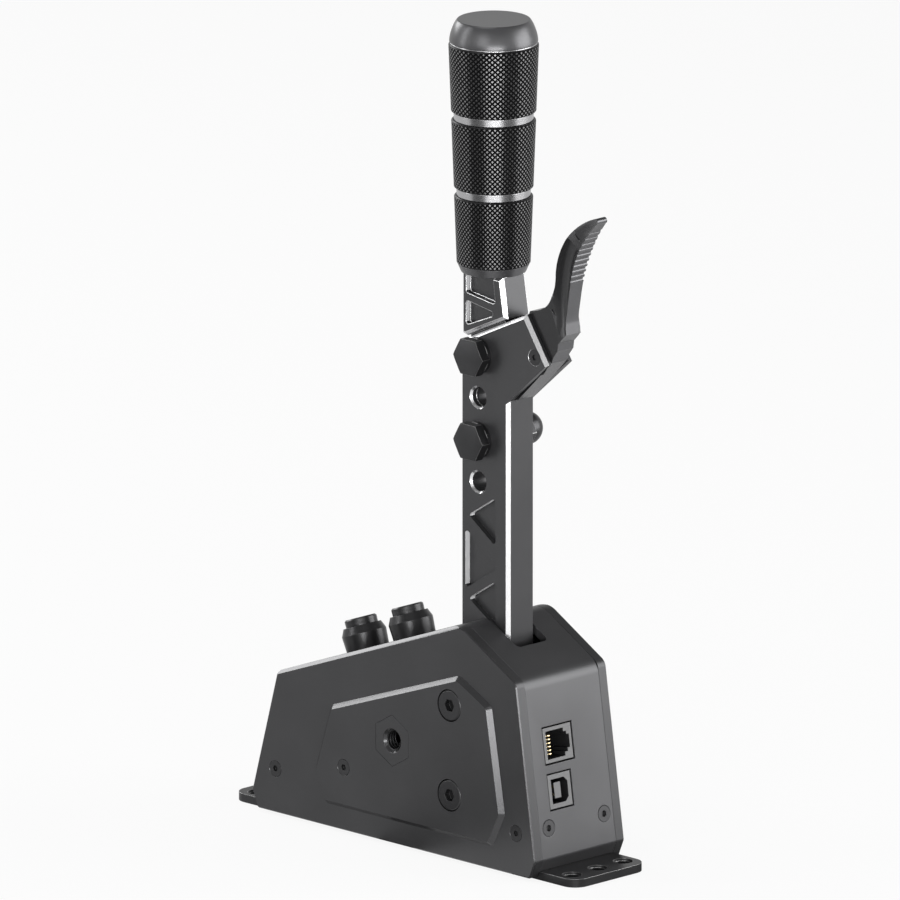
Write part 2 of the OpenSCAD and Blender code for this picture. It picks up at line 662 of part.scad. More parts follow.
// Chamfer at the mouth of each clamp hole
module clamp_mouths() {
    both_sides() for (i = [0:3]) translate([clamp_x, -half_t - eps, clamp_z - i * clamp_pitch])
        rotate([-90, 0, 0]) cylinder(d1 = clamp_d + 2 * fit + 2 * hole_chamfer, d2 = clamp_d + 2 * fit,
            h = hole_chamfer);
}
module lever_arm() {
    c = lever_chamfer;
    reach = stop_z - pivot_z;
    slide = reach * sin(lever_throw);
    dip = reach * (1 - cos(lever_throw));
    hole_r = stop_d / 2 + clear;
    color(satin) difference() {
        union() {
            translate([pivot_x, 0, pivot_z]) linear_extrude(height = cheek_floor + 2 - pivot_z) polygon([
                [-half_w, -half_t + c], [-half_w + c, -half_t], [half_w - c, -half_t], [half_w, -half_t + c],
                [half_w, half_t - c], [half_w - c, half_t], [-half_w + c, half_t], [-half_w, half_t - c]]);
            rod_y(pivot_x, pivot_z, lever_w, -half_t, half_t);
            hull() {
                along_y(-half_t + c, half_t - c) polygon(cheek_points);
                along_y(-half_t, half_t) intersection() {
                    offset(delta = -c) polygon(cheek_face);
                    polygon(cheek_points);
                }
            }
            translate([horn_tip, -half_t + 1, horn_low])
                cube([pivot_x - horn_tip, lever_t - 2, horn_high - horn_low]);
            translate([horn_x, 0, horn_low - spigot_h])
                cylinder(d = spigot_d, h = horn_high - horn_low + 2 * spigot_h);
        }
        rod_y(pivot_x, pivot_z, bearing_d, -half_t - eps, half_t + eps);
        for (s = [-1, 1]) rod_y(pivot_x + s * slide, stop_z - dip, 2 * hole_r, -half_t - eps, half_t + eps);
        translate([pivot_x - slide, -half_t - eps, stop_z - dip - hole_r])
            cube([2 * slide, lever_t + 2 * eps, 2 * hole_r + dip]);
        translate([tongue_rear - fit, -slot_w / 2, tongue_low - 1])
            cube([tongue_front - tongue_rear + 2 * fit, slot_w, cheek_top[1] - tongue_low + 2]);
        translate([tongue_front, -slot_w / 2, cheek_floor]) cube([lever_w + 4, slot_w, 40]);
        clamp_holes(0, 3);
        clamp_mouths();
        rod_y(trig_x, trig_z, trig_pin_d + 2 * run, -half_t - eps, half_t + eps);
        both_sides() translate([trig_x, -half_t - eps, trig_z]) rotate([-90, 0, 0])
            cylinder(d1 = csk_d + 2 * fit, d2 = trig_pin_d + 2 * fit, h = (csk_d - trig_pin_d) / 2);
        rod_y(pivot_x, sensor_z, magnet_d + 2 * run, half_t - magnet_t, half_t + eps);
        pockets(lever_pockets, half_t);
    }
}
module pivot_bearings() {
    color(bright) both_sides() difference() {
        rod_y(pivot_x, pivot_z, bearing_d - 2 * run, -half_t, -half_t + bearing_w);
        rod_y(pivot_x, pivot_z, shaft_d + 2 * run, -half_t - eps, 0);
    }
}
module sensor_magnet() {
    color(bright) rod_y(pivot_x, sensor_z, magnet_d, half_t - magnet_t, half_t);
}

// Upper arm: a tongue between the cheeks, a neck on top of them and a round tang inside the grip
neck_t = 12.4;
neck_chamfer = 1.2;
neck_gap = 0.9;
tang_d = 12;
neck_front = 38.6;
neck_front_top = 36.2;
function cheek_line(x) = cheek_rear_z + cheek_slope * (x - rear_face) + neck_gap;
module upper_arm() {
    points = [[rear_face, cheek_line(rear_face) + 1.6], [rear_face + 2.2, cheek_line(rear_face + 2.2)],
        [neck_front, cheek_line(neck_front)], [neck_front_top, grip_z], [rear_face, grip_z]];
    color(satin) difference() {
        union() {
            hull() {
                along_y(-neck_t / 2 + neck_chamfer, neck_t / 2 - neck_chamfer) polygon(points);
                along_y(-neck_t / 2, neck_t / 2) intersection() {
                    offset(delta = -neck_chamfer) polygon(concat(points, []));
                    square([100, grip_z]);
                }
            }
            along_y(-slot_w / 2 + fit, slot_w / 2 - fit) polygon([
                [tongue_rear, tongue_low], [tongue_front, tongue_low],
                [tongue_front, cheek_line(tongue_front) + 2], [tongue_rear, cheek_line(tongue_rear) + 2]]);
            translate([grip_x, 0, grip_z - 4]) cylinder(d = tang_d, h = core_l + 4 - 3);
        }
        clamp_holes(0, 2);
        pockets([
            [[rear_face + pocket_in, 186.6], [rear_face + pocket_in, 195.4], [33, 193.2], [33, 192.2]],
            [[rear_face + pocket_in, 198.2], [rear_face + pocket_in, grip_z + 3], [31.8, grip_z + 3],
                [33.4, 196.2]]],
            neck_t / 2);
    }
}

// Clamp bolts with washers and cap nuts behind
used_holes = [0, 2];
clamp_flange_h = 1.6;
washer_t = 1.6;
nut_af = 13;
nut_l = 14.4;
nut_hex = 6.5;
module at_clamps() {
    for (i = used_holes) translate([clamp_x, 0, clamp_z - i * clamp_pitch]) children();
}
module clamp_bolts() {
    color(black) at_clamps() {
        intersection() {
            hex_y(0, 0, clamp_af, -half_t - clamp_head_h, -half_t - clamp_flange_h, 0);
            translate([0, -half_t - clamp_head_h, 0]) rotate([-90, 0, 0])
                cylinder(d1 = clamp_af + 0.6, d2 = clamp_af + 0.6 + 8 * clamp_head_h, h = clamp_head_h);
        }
        rod_y(0, 0, clamp_af + 0.4, -half_t - clamp_flange_h, -half_t);
        rod_y(0, 0, clamp_d, -half_t - 1, half_t + washer_t + 9);
    }
}
module clamp_washers() {
    color(steel) at_clamps() difference() {
        rod_y(0, 0, nut_af + 2, half_t, half_t + washer_t);
        rod_y(0, 0, clamp_d + 2 * fit, half_t - 1, half_t + washer_t + eps);
    }
}
module clamp_cap_nuts() {
    face = half_t + washer_t;
    dome_r = nut_af / 2 - 0.6;
    color(black) at_clamps() difference() {
        union() {
            hex_y(0, 0, nut_af, face, face + nut_hex);
            rod_y(0, 0, 2 * dome_r, face, face + nut_l - dome_r);
            translate([0, face + nut_l - dome_r, 0]) sphere(r = dome_r);
        }
        rod_y(0, 0, clamp_d + 2 * run, face - eps, face + 10);
    }
}

// Grip, built up on a core tube round the tang
grip_x = 26.4;
cap_ring_h = 0.6;
grip_len = collar_h + 3 * sleeve_h + 2 * ring_h + cap_ring_h + cap_h;
core_d = 17;
core_l = grip_len - cap_h;
sleeves_l = 3 * sleeve_h + 2 * ring_h;
// Radius of the grip's knurled surface at a height above its lower end
function grip_r(h) = (grip_low_d + (grip_top_d - grip_low_d) * (h - collar_h) / sleeves_l) / 2;
// Height above the grip's lower end at which a sleeve begins, counted from 0
function sleeve_start(i) = collar_h + i * (sleeve_h + ring_h);
module ring_of_grip(h0, h1, r0, r1, edge = 0) {
    translate([grip_x, 0, grip_z]) rotate_extrude($fn = 72) polygon([[core_d / 2 + run, h0],
        [r0 - edge, h0], [r0, h0 + edge], [r1, h1 - edge], [r1 - edge, h1], [core_d / 2 + run, h1]]);
}
module grip_core() {
    color(bright) translate([grip_x, 0, grip_z]) difference() {
        cylinder(d = core_d, h = core_l);
        translate([0, 0, -eps]) cylinder(r = tang_d / 2 + run, h = core_l - 2);
        translate([0, 0, core_l - 3]) cylinder(d = 5, h = 4);
    }
}
module grip_collar() {
    color(black) ring_of_grip(0, collar_h, grip_low_d / 2 - 1.6, grip_low_d / 2 - 0.3, 0);
}
module grip_rings() {
    color(bright) {
        for (i = [1, 2]) let (h = sleeve_start(i))
            ring_of_grip(h - ring_h, h, grip_r(h - ring_h) - ring_in, grip_r(h) - ring_in);
        ring_of_grip(core_l - cap_ring_h, core_l, grip_top_d / 2 - ring_in / 2, grip_top_d / 2 - ring_in / 2);
    }
}
module grip_sleeve(i) {
    h = sleeve_start(i);
    color(black) ring_of_grip(h, h + sleeve_h, grip_r(h), grip_r(h + sleeve_h), 0.4);
}
module grip_sleeve_lower() {
    grip_sleeve(0);
}
module grip_sleeve_middle() {
    grip_sleeve(1);
}
module grip_sleeve_upper() {
    grip_sleeve(2);
}
module grip_cap() {
    side = cubic_points([grip_top_d / 2 - 0.3, 0], [grip_top_d / 2 - 0.2, cap_h * 0.35],
        [cap_flat_d / 2 + 1, cap_h * 0.9], [cap_flat_d / 2, cap_h], 12);
    color(black) translate([grip_x, 0, grip_z + core_l]) {
        rotate_extrude($fn = 72) polygon(concat([[0, 0]], side, [[0, cap_h]]));
        translate([0, 0, -3]) cylinder(d = 5 - 2 * run, h = 3 + eps);
    }
}

// Trigger with its pin and switch. Its outline runs up the front from the tail, round the tip and down
tail = [[40.9, 163.6], [42.2, 163.6], [58.4, 179.4], [59.2, 181.6], [61.2, 184.2], [61.6, 186.9],
    [65, 190.4]];
front_curve = [[64.6, 196], [66.4, 207], [66.8, 218.5], [78.3, 231.6]];
tip = [77.9, 232.6];
tip_d = 2.2;
back_curve = [[77.4, 233.6], [66, 229.6], [59, 219], [59.1, 209]];
web_curve = [[59.1, 209], [58.6, 199.5], [54.5, 197.2], [48, 196.2]];
heel = [[47.4, 195], [47.2, 176.5], [43.6, 169]];
// Where the thick body ends under the narrower paddle, and where the paddle is rooted in the body
body_top = [[62, 194], [58, 198.5]];
paddle_root = [[50, 190], [60, 185.4], [65, 190.4]];
trig_t = slot_w - 0.4;
module trigger() {
    curve_front = cubic_points(front_curve[0], front_curve[1], front_curve[2], front_curve[3], 16);
    curve_back = cubic_points(back_curve[0], back_curve[1], back_curve[2], back_curve[3], 16);
    curve_web = cubic_points(web_curve[0], web_curve[1], web_curve[2], web_curve[3], 10);
    color(black) difference() {
        union() {
            along_y(-trig_t / 2, trig_t / 2) polygon(concat(tail,
                body_top, [for (p = curve_web) if (p[1] < body_top[1][1]) p], heel));
            intersection() {
                along_y(-paddle_w / 2, paddle_w / 2) {
                    polygon(concat(paddle_root, curve_front, curve_back, curve_web));
                    translate(tip) circle(d = tip_d);
                }
                paddle_taper();
            }
        }
        rod_y(trig_x, trig_z, trig_pin_d + 2 * run, -trig_t, trig_t);
        for (i = [0:ridges]) let (p = cubic(front_curve[0], front_curve[1], front_curve[2],
            front_curve[3], 0.42 + 0.5 * i / ridges))
            rod_y(p[0] + groove_r - groove_in, p[1] - groove_in, 2 * groove_r, -trig_t, trig_t);
        both_sides() scoop();
    }
}
// Outline of the paddle seen from the front: its sides draw in towards the tip
tip_w = 4.2;
taper_z = 218;
module paddle_taper() {
    end_z = tip[1] + tip_d;
    side = cubic_points([paddle_w / 2, taper_z], [paddle_w / 2, taper_z + 6], [tip_w / 2 + 0.4, end_z - 4],
        [tip_w / 2, end_z], 8);
    rotate([90, 0, 90]) linear_extrude(height = plate_l) polygon(concat(
        [[-paddle_w / 2, cheek_floor], [paddle_w / 2, cheek_floor]], side,
        [for (i = [len(side) - 1:-1:0]) [-side[i][0], side[i][1]]]));
}
// Long hollow in each side of the paddle, and the grooves between the ridges on its front
scoop_r = 7;
scoop_in = 1.8;
groove_r = 0.85;
groove_in = 0.45;
module scoop() {
    points = [for (i = [-2:16]) let (t = i / 14,
        p = cubic([64, 191.5], [60.4, 207], [62, 219], [73.5, 230], t), out = scoop_in * pow(2 * t - 1, 2))
        [p[0], -paddle_w / 2 - scoop_r + scoop_in - out, p[1]]];
    tube_along(points, scoop_r, 20);
}
module trigger_pin() {
    color(steel) {
        rod_y(trig_x, trig_z, trig_pin_d, -half_t + 0.5, half_t - 0.5);
        both_sides() translate([trig_x, -half_t + 0.05, trig_z]) rotate([-90, 0, 0]) difference() {
            cylinder(d1 = csk_d, d2 = trig_pin_d, h = (csk_d - trig_pin_d) / 2);
            translate([0, 0, -eps]) cylinder(d = csk_socket / cos(30), h = 1, $fn = 6);
        }
    }
}
module trigger_switch() {
    color(black) {
        translate([tongue_front + 0.2, -slot_w / 2 + fit, 174]) cube([6.4, slot_w - 2 * fit, 14]);
        translate([tongue_front + 6, 0, 186]) rotate([0, 90, 0]) cylinder(d = 2.4, h = 4);
    }
}

base_plate();
side_plate_right();
side_plate_left();
housing_cover();
tie_bars();
side_plate_screws();
cover_screws();
side_mount_inserts();
pivot_shaft();
pivot_spacers();
pivot_screws();
stop_bar();
stop_bar_screws();
spring_bracket();
bracket_screws();
lower_return_spring();
upper_return_spring();
main_board();
board_spacers();
usb_socket();
link_socket();
sensor_board();
button_bezels();
button_switches();
button_nuts();
button_cap_rear();
button_cap_front();
lever_arm();
pivot_bearings();
sensor_magnet();
upper_arm();
clamp_bolts();
clamp_washers();
clamp_cap_nuts();
grip_core();
grip_collar();
grip_rings();
grip_sleeve_lower();
grip_sleeve_middle();
grip_sleeve_upper();
grip_cap();
trigger_pin();
trigger_switch();
trigger();
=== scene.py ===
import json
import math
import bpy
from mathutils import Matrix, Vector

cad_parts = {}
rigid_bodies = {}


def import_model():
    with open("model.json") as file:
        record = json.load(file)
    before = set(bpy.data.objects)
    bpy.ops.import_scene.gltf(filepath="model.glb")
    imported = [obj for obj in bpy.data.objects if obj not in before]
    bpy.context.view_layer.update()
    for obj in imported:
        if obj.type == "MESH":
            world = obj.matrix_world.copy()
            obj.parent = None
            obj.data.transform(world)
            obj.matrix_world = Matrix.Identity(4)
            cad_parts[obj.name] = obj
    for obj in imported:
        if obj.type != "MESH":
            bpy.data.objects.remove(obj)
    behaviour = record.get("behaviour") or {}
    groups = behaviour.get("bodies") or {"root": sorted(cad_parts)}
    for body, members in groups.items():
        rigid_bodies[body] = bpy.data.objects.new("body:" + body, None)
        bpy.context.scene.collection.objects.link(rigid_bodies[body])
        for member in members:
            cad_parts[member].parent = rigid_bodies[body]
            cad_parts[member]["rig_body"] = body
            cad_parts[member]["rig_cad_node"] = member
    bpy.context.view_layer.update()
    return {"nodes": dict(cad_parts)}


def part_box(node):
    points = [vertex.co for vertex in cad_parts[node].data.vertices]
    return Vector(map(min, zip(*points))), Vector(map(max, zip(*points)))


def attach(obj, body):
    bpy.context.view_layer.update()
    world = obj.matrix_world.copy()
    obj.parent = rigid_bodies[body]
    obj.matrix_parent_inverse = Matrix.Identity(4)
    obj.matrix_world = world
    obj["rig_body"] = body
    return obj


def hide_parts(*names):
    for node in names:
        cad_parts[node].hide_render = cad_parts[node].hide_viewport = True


bl_info = {
    "name": "Sequential Shifter Dressing",
    "version": (1, 0, 0),
    "blender": (4, 5, 0),
    "location": "3D View > Sidebar > Shifter",
    "description": "Knurled grip, contacts, threads and finishes for a sequential gear shifter",
    "category": "Object",
}

import bpy
from mathutils import Matrix, Vector

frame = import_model()
MM = 0.001
SLEEVES = ("grip_sleeve_lower", "grip_sleeve_middle", "grip_sleeve_upper")

# Where the lever's milled pockets lie
LEVER_THICKNESS = 13.2 * MM
LEVER_REAR = 16.65 * MM
POCKET_DEPTH = 2.2 * MM
POCKETS_FRONT = 35 * MM
POCKETS_TOP = 130 * MM
NECK_POCKETS = 182 * MM

# A sleeve's peaks stand out this many groove depths before their tops are cut flat
PEAK = 1.87
SLEEVE_CHAMFER = 0.45 * MM
SLEEVE_STEP = 0.08 * MM
SLEEVE_WALL = 0.2 * MM
SLEEVE_BORE = 9 * MM
# A face whose normal rises or falls less than this is the flat top of a diamond
FLAT_TOP = 0.12

# Edges of a node's copy: points closer than MERGE are one, and the angles tell flat, smooth and
# sharp apart
MERGE = 0.004 * MM
FLAT = math.radians(0.8)
SMOOTH = math.radians(20)
SHARP = math.radians(22)

# The skirt under a button's rim
SKIRT_RADIUS = 5.68 * MM
SKIRT_TALL = 3.6 * MM
SKIRT_BELOW_TOP = 0.45 * MM
SKIRT_ROUND = 0.15 * MM

# Contacts in the two sockets
SOCKET_DEPTH = 16 * MM
WIRE_RADIUS = 0.24 * MM
WIRE_START = 1.0 * MM
WIRE_INSIDE = 6.2 * MM
WIRE_OFF_SIDE = 1.7 * MM
# Steps of a contact's wire, out of the jack and away from its side, in millimetres
WIRE_STEPS = ((4.0, 0.1), (0.8, 0.5), (0.5, 1.0), (-0.6, 0.9), (-1.6, 0.5), (-3.0, 0.9))

# A contact strip's size, and its place from the middle of the data socket's front
STRIP = (6 * MM, 0.2 * MM, 1.1 * MM)
STRIP_PLACE = (-5.0 * MM, 1.66 * MM, 1.35 * MM)
STRIP_ROUND = 0.06 * MM
STRIP_NOSE = 0.5 * MM
STRIP_DIP = 0.12 * MM

# The side mounts' threads
THREAD_BORE = 3.4 * MM
THREAD_TOOTH = 0.42 * MM
THREAD_TURNS = 4
THREAD_STEPS = 36
THREAD_DEPTH = 5.7 * MM

# Stage: the camera's aim and direction, its distance in metres, and the scale of its square picture
AIM = (5.2 * MM, 0, 138.4 * MM)
TOWARD_CAMERA = (0.685, -0.685, 0.25)
AWAY = 10.0
SENSOR = 36
PICTURE = 900
PIXELS_IN_A_MM = 2.9
# Angles from the camera's direction, in radians, that bound the floor's bright, dark and
# right-hand parts
CARD_END = 0.42
DARK_END = 1.2
RIGHT_END = 1.9
# Share of the floor's own light that the camera sees, where 1 leaves no shadow
FLOOR_GLOW = 0.9
# Each lamp's place, target, width, height and watts
LAMPS = {
    "front_right_box": ((1.2, 1.0, 0.45), (0.02, 0, 0.14), 1.3, 1.0, 19),
    "left_strip": ((-1.2, -1.3, 0.8), (0, 0, 0.12), 0.35, 1.6, 8),
    "rear_box": ((-1.5, 0.0, 0.72), (0, 0, 0.1), 0.7, 0.5, 7),
    "top_box": ((-0.2, -0.3, 1.9), (0, 0, 0.1), 0.9, 0.9, 7),
    "camera_box": ((0.6, -2.0, 0.9), (0, 0, 0.12), 1.0, 1.0, 8),
    "low_front_box": ((1.2, -1.0, 0.17), (0, 0, 0.12), 1.1, 0.3, 13),
}

# Scales of the noise in the finishes, for an object measured in metres
BLASTED = 2600.0
MOULDED = 1800.0
BRUSHED = 900.0
TURNED = 2200.0
ANODISED_METAL = 0.62


# Sizes and colours that a user would change

class ShifterSizes(bpy.types.PropertyGroup):
    knurl_columns: bpy.props.IntProperty(
        name="Knurl columns", description="Half diamonds round a sleeve", default=100,
        min=40, max=240)
    knurl_rise: bpy.props.FloatProperty(
        name="Knurl row", description="Height of half a diamond", default=0.86 * MM, unit="LENGTH")
    knurl_depth: bpy.props.FloatProperty(
        name="Knurl depth", description="Depth of the grooves between diamonds", default=0.45 * MM,
        unit="LENGTH")
    knurl_flat: bpy.props.FloatProperty(
        name="Knurl flat", default=0.62 * MM, unit="LENGTH",
        description="Distance from a diamond's middle to the edge of its flat top")
    knurl_border: bpy.props.FloatProperty(
        name="Plain edge", description="Plain band at each end of a sleeve", default=0.7 * MM,
        unit="LENGTH")
    grip_taper: bpy.props.FloatProperty(
        name="Grip taper", description="Gain in radius over the grip's length, as a slope",
        default=0.0361)
    wall_lean: bpy.props.FloatProperty(
        name="Wall lean", description="How far the front wall leans back",
        default=math.radians(8.44), subtype="ANGLE")
    contact_pitch: bpy.props.FloatProperty(
        name="Contact pitch", description="Distance between the jack's contacts", default=1.27 * MM,
        unit="LENGTH")
    contact_count: bpy.props.IntProperty(
        name="Contacts", description="Number of contacts in the jack", default=6, min=2, max=8)
    thread_pitch: bpy.props.FloatProperty(
        name="Thread pitch", description="Rise of the side mount's thread in a turn",
        default=1.25 * MM, unit="LENGTH")


class ShifterColours(bpy.types.PropertyGroup):
    anodised: bpy.props.FloatVectorProperty(
        name="Anodised", description="Black anodised aluminium", subtype="COLOR", size=3,
        default=(0.052, 0.052, 0.054), min=0, max=1)
    bare_edge: bpy.props.FloatVectorProperty(
        name="Bare edge", description="Bare aluminium on machined edges", subtype="COLOR", size=3,
        default=(0.8, 0.8, 0.81), min=0, max=1)
    knurl: bpy.props.FloatVectorProperty(
        name="Knurl", description="Black of the knurled sleeves", subtype="COLOR", size=3,
        default=(0.014, 0.014, 0.015), min=0, max=1)
    silver: bpy.props.FloatVectorProperty(
        name="Silver", description="Turned aluminium of the grip's rings", subtype="COLOR", size=3,
        default=(0.52, 0.52, 0.53), min=0, max=1)
    gold: bpy.props.FloatVectorProperty(
        name="Gold", description="Plating of the contacts", subtype="COLOR", size=3,
        default=(0.86, 0.7, 0.42), min=0, max=1)


# Shader maths

class Value:
    """A socket that adds Math nodes when it is used in an expression."""

    def __init__(self, tree, socket):
        self.tree = tree
        self.socket = socket

    def _math(self, operation, first, second):
        node = self.tree.nodes.new("ShaderNodeMath")
        node.operation = operation
        for slot, value in zip(node.inputs, (first, second)):
            if isinstance(value, Value):
                self.tree.links.new(value.socket, slot)
            else:
                slot.default_value = value
        return Value(self.tree, node.outputs[0])

    def __add__(self, other):
        return self._math("ADD", self, other)

    def __radd__(self, other):
        return self._math("ADD", other, self)

    def __sub__(self, other):
        return self._math("SUBTRACT", self, other)

    def __rsub__(self, other):
        return self._math("SUBTRACT", other, self)

    def __mul__(self, other):
        return self._math("MULTIPLY", self, other)

    def __rmul__(self, other):
        return self._math("MULTIPLY", other, self)

    def __gt__(self, other):
        return self._math("GREATER_THAN", self, other)

    def __lt__(self, other):
        return self._math("LESS_THAN", self, other)

    def size(self):
        """The value without its sign."""
        return self._math("ABSOLUTE", self, 0)

    def between(self, low, high):
        """1 between two values, and 0 outside them."""
        return (self > low) * (self < high)

    def angle(self, x):
        """Angle of the point (x, self) round the origin."""
        return self._math("ARCTAN2", self, x)

    def limit(self):
        """The value, or 1 where it is more."""
        return self._math("MINIMUM", self, 1)


class Finish:
    """A material's node tree, with one method that adds any node."""

    def __init__(self, name):
        self.material = bpy.data.materials.new(name)
        self.material.use_nodes = True
        self.tree = self.material.node_tree
        self.shader = self.tree.nodes["Principled BSDF"]

    def add(self, kind, settings=None, **sockets):
        node = self.tree.nodes.new("ShaderNode" + kind)
        for key, value in (settings or {}).items():
            setattr(node, key, value)
        for key, value in sockets.items():
            self.plug(node.inputs[key.replace("_", " ")], value)
        return node

    def plug(self, slot, value):
        if isinstance(value, Value):
            value = value.socket
        if isinstance(value, bpy.types.NodeSocket):
            self.tree.links.new(value, slot)
        else:
            slot.default_value = value

    def set(self, **sockets):
        for key, value in sockets.items():
            self.plug(self.shader.inputs[key.replace("_", " ")], value)

    def value(self, node, output=0):
        return Value(self.tree, node.outputs[output])

    def place(self):
        return self.add("TexCoord").outputs["Object"]

    def noise(self, scale):
        node = self.add("TexNoise", Vector=self.place(), Scale=scale, Detail=3.0)
        return self.value(node, "Fac")

    def normal(self):
        return self.parts(self.add("TexCoord").outputs["Normal"])

    def parts(self, vector):
        node = self.add("SeparateXYZ", Vector=vector)
        return [self.value(node, i) for i in range(3)]

    def blend(self, factor, first, second):
        node = self.tree.nodes.new("ShaderNodeMix")
        node.data_type = "RGBA"
        self.plug(node.inputs[0], factor)
        for slot, value in ((node.inputs[6], first), (node.inputs[7], second)):
            self.plug(slot, value if isinstance(value, bpy.types.NodeSocket) else (*value[:3], 1.0))
        return node.outputs[2]

    def bump(self, height, strength, distance):
        node = self.add("Bump", Height=height, Strength=strength, Distance=distance)
        self.set(Normal=node.outputs[0])


def colours():
    return bpy.context.scene.shifter_colours


def shade(colour, factor):
    return tuple(c * factor for c in colour)


def anodised_finish(name, edges=None, walls=None, tone=1.0, roughness=0.36):
    """Bead-blasted black anodising, smoother on the edges. Given walls too, both are bare metal;
    the walls are partly bare metal and partly painted highlight and shade.
    """
    f = Finish(name)
    grain = f.noise(BLASTED)
    patches = f.noise(38.0)
    base = shade(colours().anodised, tone)
    colour = f.blend(patches, shade(base, 0.82), shade(base, 1.16))
    rough = roughness + 0.10 * (grain - 0.5) + 0.08 * (patches - 0.5)
    metal = ANODISED_METAL
    if edges:
        mask = edges(f)
        rough = rough - 0.13 * mask
    if walls:
        # Pocket walls: bare metal made bright and diffuse for the lamps, partly a painted highlight
        milled_and_painted_light = walls(f)
        worn = 0.9 + 0.2 * (f.noise(160.0) - 0.5)
        colour = f.blend((mask + milled_and_painted_light) * worn, colour, tuple(colours().bare_edge))
        metal = metal + (1 - ANODISED_METAL) * mask - 0.55 * milled_and_painted_light
        rough = rough + 0.15 * milled_and_painted_light
    f.set(Base_Color=colour, Roughness=rough, Metallic=metal)
    f.bump(grain, 0.12, 0.02 * MM)
    return f.material


def side_chamfers(f):
    """1 where the surface leans between the piece's side and its edge."""
    return f.normal()[1].size().between(0.35, 0.93)


def pocket_walls(f):
    """1 on the cut walls of the lever's pockets, bare metal brightened as a painted highlight; the
    walls that face up stay 0, kept dark as painted shade.
    """
    x, y, z = f.parts(f.place())
    normal = f.normal()
    # Walls facing up are left out, so they stay dark: painted shade
    wall = (normal[1].size() < 0.2) * (normal[2] < 0.3)
    inside = y.size().between(LEVER_THICKNESS / 2 - POCKET_DEPTH, LEVER_THICKNESS / 2)
    inside = inside * x.between(LEVER_REAR + MM, POCKETS_FRONT)
    return wall * inside * ((z < POCKETS_TOP) + (z > NECK_POCKETS))


def trigger_finish(name):
    """Black anodised aluminium with a painted highlight: the faces that look forward are lighter
    and a little smoother.
    """
    f = Finish(name)
    grain = f.noise(BLASTED)
    # Painted highlight: faces whose normal looks forward get a lighter black
    painted_front_highlight = (f.normal()[0] > 0.6) * (0.8 + 0.4 * (f.noise(70.0) - 0.5))
    black = colours().anodised
    f.set(Base_Color=f.blend(painted_front_highlight, shade(black, 0.7), shade(black, 2.4)),
          Roughness=0.22 - 0.02 * painted_front_highlight + 0.1 * (grain - 0.5), Metallic=ANODISED_METAL)
    f.bump(grain, 0.12, 0.02 * MM)
    return f.material


def steel_finish(name, colour, roughness, metallic=1.0):
    """Metal with a fine grain and faint smears."""
    f = Finish(name)
    grain = f.noise(BRUSHED)
    smear = f.noise(60.0)
    f.set(Base_Color=f.blend(smear, shade(colour, 0.85), shade(colour, 1.1)),
          Roughness=roughness + 0.12 * (grain - 0.5) + 0.08 * (smear - 0.5), Metallic=metallic)
    f.bump(grain, 0.1, 0.02 * MM)
    return f.material


def turned_finish(name, colour, roughness):
    """Aluminium turned on a lathe, with fine rings round the grip."""
    f = Finish(name)
    rings = f.add("TexWave", {"bands_direction": "Z"}, Vector=f.place(), Scale=TURNED,
                  Distortion=0.4)
    lines = f.value(rings, "Fac")
    f.set(Base_Color=f.blend(f.noise(90.0), shade(colour, 0.93), colour),
          Roughness=roughness + 0.08 * (lines - 0.5), Metallic=1.0)
    f.bump(lines, 0.15, 0.01 * MM)
    return f.material


def plastic_finish(name, colour, roughness):
    """Moulded plastic with a matt grain."""
    f = Finish(name)
    grain = f.noise(MOULDED)
    f.set(Base_Color=f.blend(f.noise(45.0), shade(colour, 0.85), shade(colour, 1.15)),
          Roughness=roughness + 0.14 * (grain - 0.5))
    f.bump(grain, 0.2, 0.03 * MM)
    return f.material


def socket_finish(name, inside, face):
    """Black plastic, with a grey front: faces that look out of the wall are grey, and all other
    faces black, a painted shade inside the openings.
    """
    f = Finish(name)
    # Painted shade: every face that doesn't look out is black
    f.set(Base_Color=f.blend(f.normal()[0] > 0.9, inside, face),
          Roughness=0.4 + 0.14 * (f.noise(MOULDED) - 0.5))
    return f.material


def make_finishes():
    """Every finish once, by name."""
    c = colours()
    return {
        "side": anodised_finish("side plate anodising", side_chamfers, tone=1.08),
        "cover": anodised_finish("cover anodising", tone=1.35),
        "lever": anodised_finish("lever anodising", side_chamfers, pocket_walls, tone=1.15),
        "base": anodised_finish("base plate anodising", tone=0.7),
        "trigger": trigger_finish("trigger anodising"),
        "button": anodised_finish("button anodising", tone=0.7, roughness=0.3),
        "cap": anodised_finish("grip cap anodising", tone=1.9, roughness=0.33),
        "knurl": steel_finish("knurl anodising", tuple(c.knurl), 0.4, 0.6),
        # A lighter, glossier copy of the knurl metal for the diamonds' flat tops: a painted
        # highlight
        "knurl top": steel_finish("knurl tops painted highlight", (0.26, 0.26, 0.262), 0.2, 0.95),
        "bare edge": steel_finish("bare edge", tuple(c.bare_edge), 0.28),
        # A lighter grey metal for roundings: a painted edge highlight
        "painted edge highlight": steel_finish("painted edge highlight", (0.34, 0.34, 0.34), 0.3, 0.9),
        "black steel": steel_finish("blackened steel", (0.055, 0.055, 0.057), 0.34, 0.85),
        "steel": steel_finish("plain steel", (0.5, 0.5, 0.51), 0.3),
        "silver": turned_finish("turned silver", tuple(c.silver), 0.24),
        "gold": steel_finish("gold plating", tuple(c.gold), 0.25),
        "black plastic": plastic_finish("black plastic", (0.012, 0.012, 0.013), 0.42),
        # The socket's black inside is painted shade
        "socket": socket_finish("socket plastic", (0.012, 0.012, 0.013), (0.13, 0.13, 0.132)),
        "board": plastic_finish("solder mask", (0.012, 0.09, 0.035), 0.35),
    }


